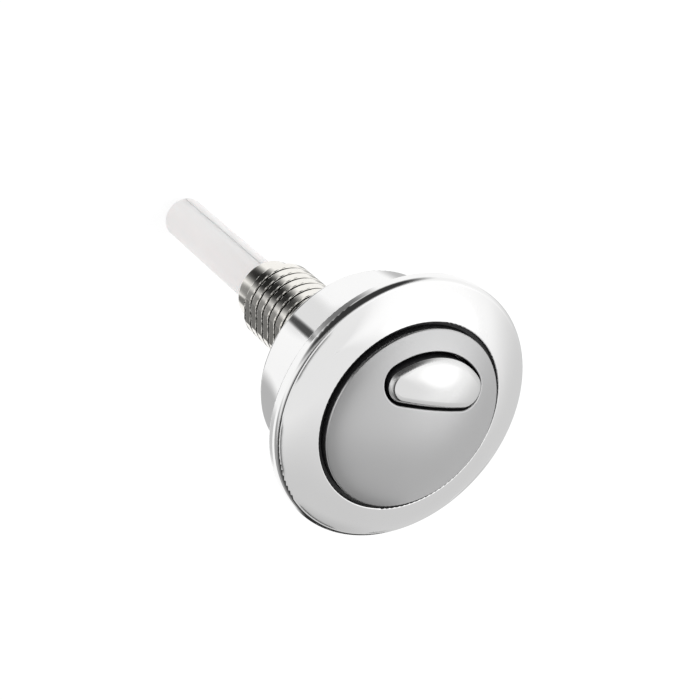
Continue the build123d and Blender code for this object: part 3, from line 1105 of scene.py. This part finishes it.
@dataclass(frozen=True)
class RoofPanel(Panel):
    """Round panel of the light tent's roof."""

    reach: float
    radius: float
    height: float

    def point(self, across: float, along: float) -> Vector:
        """Finds a place on the roof.

        Args:
            across: Place along the panel's width, from -1 to 1.
            along: Place along its height, from -1 to 1.

        Returns:
            The point in metres.
        """
        turn = math.radians(self.azimuth)
        return Vector((
            self.reach * math.cos(turn) + across * self.radius,
            self.reach * math.sin(turn) + along * self.radius,
            self.height,
        ))


@dataclass
class Studio:
    """White studio: floor, world, lamp, panels and the camera at the photograph's view."""

    floor_reach: float = 4.0
    floor_tone: float = 0.84
    floor_glow: float = 1.07
    floor_glow_share: float = 0.82
    sky_light: float = 0.90
    lamp_azimuth: float = 25.0
    lamp_elevation: float = 52.0
    lamp_distance: float = 1.0
    lamp_size: float = 0.55
    lamp_power: float = 4.0
    image_right: Triple = (0.8144, 0.3086, 0.4912)
    image_up: Triple = (-0.0837, 0.9003, -0.4269)
    focal_pixels: float = 1606.0
    image_pixels: float = 700.0
    sensor: float = 36.0
    nearest: float = 0.01
    farthest: float = 50.0
    panels: tuple[Panel, ...] = (
        TentPanel(
            "key_panel", azimuth=36.0, spread=118.0, tone=1.13, fade_from=0.0,
            elevation=57.0, height=72.0, distance=0.80,
        ),
        TentPanel(
            "spot_panel", azimuth=14.0, spread=56.0, tone=1.35, fade_from=0.0,
            elevation=55.0, height=38.0, distance=0.78,
        ),
        RimPanel(
            "crescent_panel", azimuth=132.0, spread=74.0, tone=0.04, fade_from=0.3,
            slope=58.0, reach=62.0, distance=0.78,
        ),
        TentPanel(
            "far_panel", azimuth=112.0, spread=84.0, tone=0.45, fade_from=0.0,
            elevation=38.0, height=76.0, distance=0.86,
        ),
        RimLine(
            "edge_panel", azimuth=212.0, spread=150.0, tone=0.02, fade_from=0.5,
            slope=37.4, reach=24.0, distance=0.80,
        ),
        RimLine(
            "foot_line_panel", azimuth=258.0, spread=56.0, tone=0.03, fade_from=0.4,
            slope=53.4, reach=56.0, distance=0.79, hold=0.3,
        ),
        TentPanel(
            "foot_panel", azimuth=250.0, spread=120.0, tone=0.38, fade_from=0.3,
            elevation=5.0, height=64.0, distance=0.90,
        ),
        TentPanel(
            "side_panel", azimuth=285.0, spread=130.0, tone=0.65, fade_from=0.05,
            elevation=28.0, height=92.0, distance=0.92,
        ),
        TentPanel(
            "low_panel", azimuth=338.0, spread=112.0, tone=0.68, fade_from=0.0,
            elevation=4.0, height=74.0, distance=0.96,
        ),
        RoofPanel(
            "roof_panel", azimuth=250.0, spread=0.0, tone=0.87, fade_from=0.0,
            reach=0.2, radius=0.86, height=1.0,
        ),
        FloorPatch(
            "rim_patch", azimuth=128.0, spread=72.0, tone=0.19, fade_from=0.1,
            reach=134.0 * MM, depth=60.0 * MM,
        ),
        FloorPatch(
            "rim_patch_left", azimuth=238.0, spread=64.0, tone=0.60, fade_from=0.1,
            reach=120.5 * MM, depth=14.0 * MM,
        ),
        FloorPatch(
            "rim_patch_right", azimuth=345.0, spread=110.0, tone=0.60, fade_from=0.5,
            reach=560.0 * MM, depth=860.0 * MM,
        ),
        FloorPatch(
            "cup_patch", azimuth=144.0, spread=52.0, tone=0.82, fade_from=0.2,
            reach=102.0 * MM, depth=28.0 * MM, layer=2,
        ),
        FloorPatch(
            "cup_patch_left", azimuth=256.0, spread=96.0, tone=0.50, fade_from=0.35,
            reach=97.0 * MM, depth=26.0 * MM,
        ),
        FloorPatch(
            "cup_patch_far", azimuth=20.0, spread=80.0, tone=0.55, fade_from=0.1,
            reach=93.0 * MM, depth=24.0 * MM,
        ),
        FloorPatch(
            "cup_strip", azimuth=155.5, spread=12.0, tone=0.08, fade_from=0.1,
            reach=108.0 * MM, depth=48.0 * MM, layer=3,
        ),
        FloorPatch(
            "shank_patch", azimuth=137.0, spread=84.0, tone=0.02, fade_from=0.05,
            reach=57.0 * MM, depth=66.0 * MM, layer=4,
        ),
        FloorPatch(
            "shank_patch_left", azimuth=200.0, spread=64.0, tone=0.27, fade_from=0.3,
            reach=60.0 * MM, depth=48.0 * MM, layer=2,
        ),
        FloorPatch(
            "shank_patch_far", azimuth=350.0, spread=84.0, tone=0.42, fade_from=0.2,
            reach=52.0 * MM, depth=44.0 * MM,
        ),
        FloorPatch(
            "flat_patch", azimuth=239.0, spread=44.0, tone=0.19, fade_from=0.5,
            reach=57.0 * MM, depth=40.0 * MM, layer=3,
        ),
    )

    def build(self) -> None:
        """Sets up the whole studio."""
        bpy.context.scene.view_settings.view_transform = "Standard"
        self.camera()
        self.world()
        self.floor()
        self.lamp()
        for panel in self.panels:
            panel.build()

    def camera(self) -> None:
        """Places the camera."""
        data = bpy.data.cameras.new("camera")
        data.sensor_width = self.sensor
        data.lens = self.focal_pixels / self.image_pixels * self.sensor
        data.clip_start, data.clip_end = self.nearest, self.farthest
        made = bpy.data.objects.new("camera", data)
        right = Vector(self.image_right).normalized()
        up = Vector(self.image_up).normalized()
        turn = Matrix((right, up, right.cross(up))).transposed().to_4x4()
        made.matrix_world = Matrix.Translation(CAMERA_PLACE) @ turn
        bpy.context.scene.collection.objects.link(made)
        bpy.context.scene.camera = made

    @staticmethod
    def seen(graph: Graph) -> Field:
        """Tells rays that see the studio from rays that light the button.

        Args:
            graph: Nodes of the world or of a stage material.

        Returns:
            1 where a ray comes from the camera, a reflection or a clear body, and else 0.
        """
        path = graph.add("ShaderNodeLightPath", {}, {})
        rays = ("Is Camera Ray", "Is Glossy Ray", "Is Transmission Ray")
        camera, glossy, passed = (Field(graph, path.outputs[name]) for name in rays)
        return camera.most(glossy).most(passed)

    def world(self) -> None:
        """White to the eye and in reflections, and softer as a light."""
        made = bpy.data.worlds.new("studio")
        made.use_nodes = True
        graph = Graph(made.node_tree)
        made.node_tree.nodes.clear()
        strength = self.sky_light + (1.0 - self.sky_light) * self.seen(graph)
        sky = graph.node("ShaderNodeBackground", {}, {"Color": (1, 1, 1, 1), "Strength": strength})
        graph.add("ShaderNodeOutputWorld", {}, {"Surface": sky})
        bpy.context.scene.world = made

    def floor(self) -> None:
        """Pale floor that reads as white and keeps a faint shadow."""
        mesh = bpy.data.meshes.new("floor")
        reach, height = self.floor_reach, FLOOR_HEIGHT
        corners = [(-reach, -reach, height), (reach, -reach, height), (reach, reach, height)]
        mesh.from_pydata([*corners, (-reach, reach, height)], [], [(0, 1, 2, 3)])
        made = bpy.data.materials.new("floor_paint")
        made.use_nodes = True
        made.node_tree.nodes.clear()
        graph = Graph(made.node_tree)
        paint_tone = (self.floor_tone, self.floor_tone, self.floor_tone, 1.0)
        matt = graph.node("ShaderNodeBsdfDiffuse", {}, {"Color": paint_tone})
        glow = graph.node("ShaderNodeEmission", {}, {"Strength": self.floor_glow})
        clear = graph.node("ShaderNodeBsdfTransparent", {}, {})
        share = self.floor_glow_share * self.seen(graph)
        paint_mix = graph.node("ShaderNodeMixShader", {}, {0: share, 1: matt, 2: glow})
        behind = graph.node("ShaderNodeNewGeometry", {}, {}, "Backfacing")
        mixed = graph.node("ShaderNodeMixShader", {}, {0: behind, 1: paint_mix, 2: clear})
        graph.add("ShaderNodeOutputMaterial", {}, {"Surface": mixed})
        mesh.materials.append(made)
        plane = bpy.data.objects.new("floor", mesh)
        bpy.context.scene.collection.objects.link(plane)

    def lamp(self) -> None:
        """Adds a round softbox that faces the button."""
        turn, lift = math.radians(self.lamp_azimuth), math.radians(self.lamp_elevation)
        flat = math.cos(lift)
        towards = Vector((flat * math.cos(turn), flat * math.sin(turn), math.sin(lift)))
        data = bpy.data.lights.new("key_lamp", "AREA")
        data.shape, data.size, data.energy = "DISK", self.lamp_size, self.lamp_power
        made = bpy.data.objects.new("key_lamp", data)
        facing = towards.to_track_quat("Z", "Y").to_matrix().to_4x4()
        made.matrix_world = Matrix.Translation(towards * self.lamp_distance) @ facing
        made.visible_glossy = False
        bpy.context.scene.collection.objects.link(made)


def main() -> None:
    """Builds the pieces, dresses the frame and sets up the studio."""
    logging.basicConfig(level=logging.INFO, format="%(message)s")
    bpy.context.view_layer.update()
    housing, full, half = Housing(), FullFlush(), HalfFlush()
    housing.build()
    full.build()
    housing.dress()
    full.dress()
    half.dress()
    Studio().build()


if __name__ == "__main__":
    main()
